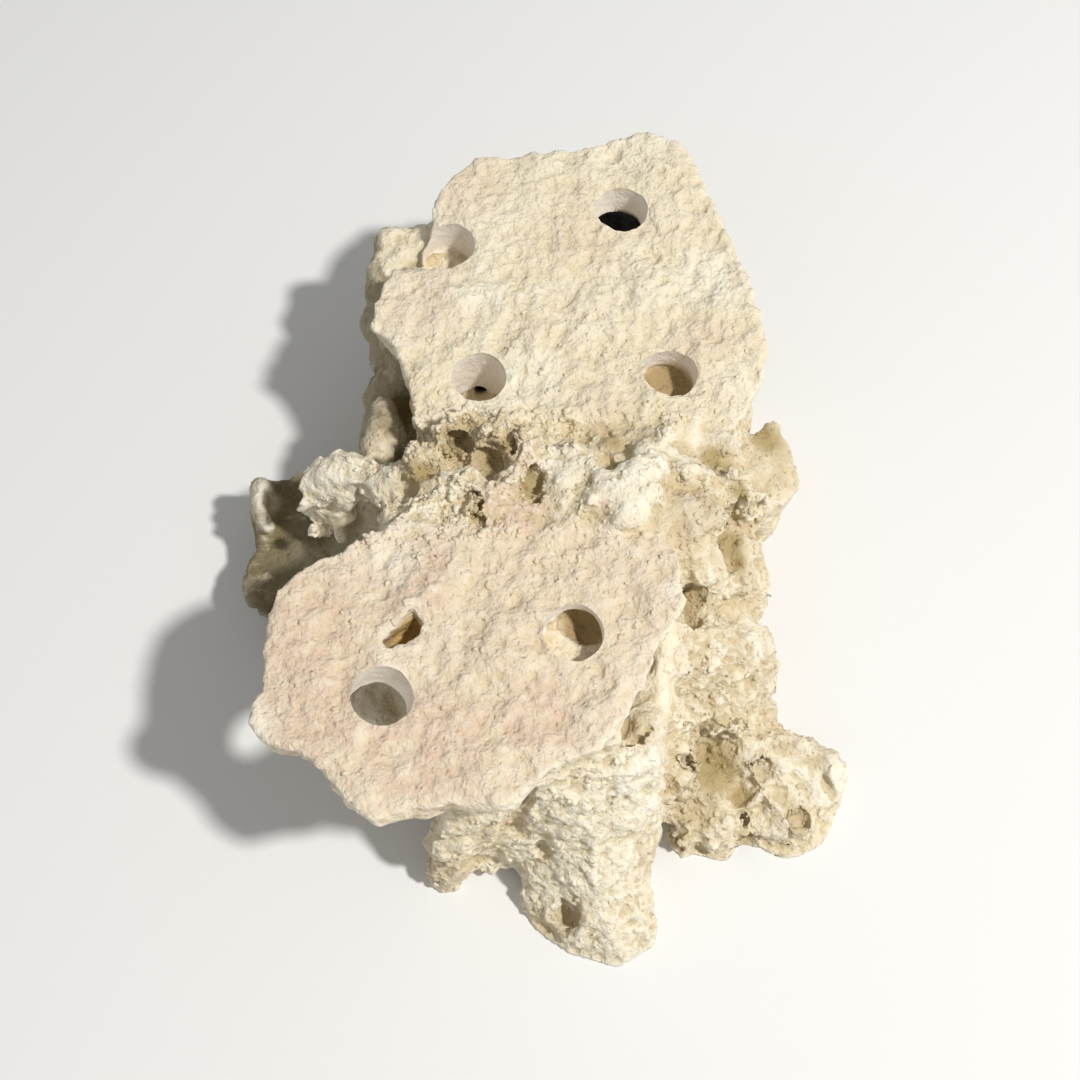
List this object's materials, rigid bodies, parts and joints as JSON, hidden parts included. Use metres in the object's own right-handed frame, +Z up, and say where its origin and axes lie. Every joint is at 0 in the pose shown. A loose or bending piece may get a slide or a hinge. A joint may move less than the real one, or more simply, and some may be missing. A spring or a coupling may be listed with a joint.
{
  "type": "dry reef rock",
  "caption": "Porous limestone shelf rock with drilled round holes in two flat-topped shelves, a knobbly ridge between them and a lower side tier, standing on flat-cut feet.",
  "frame": {"origin": "on the ground under the middle of the rock's outline", "axes": "+X to the right, +Y from the front toe to the back of the upper shelf, +Z up"},
  "size_m": [0.1456, 0.1962, 0.0651],
  "materials": {
    "reef_stone": "rough, porous, cream with pinkish patches"
  },
  "bodies": {
    "root": {"reef_rock": "reef_stone"}
  },
  "joints": []
}
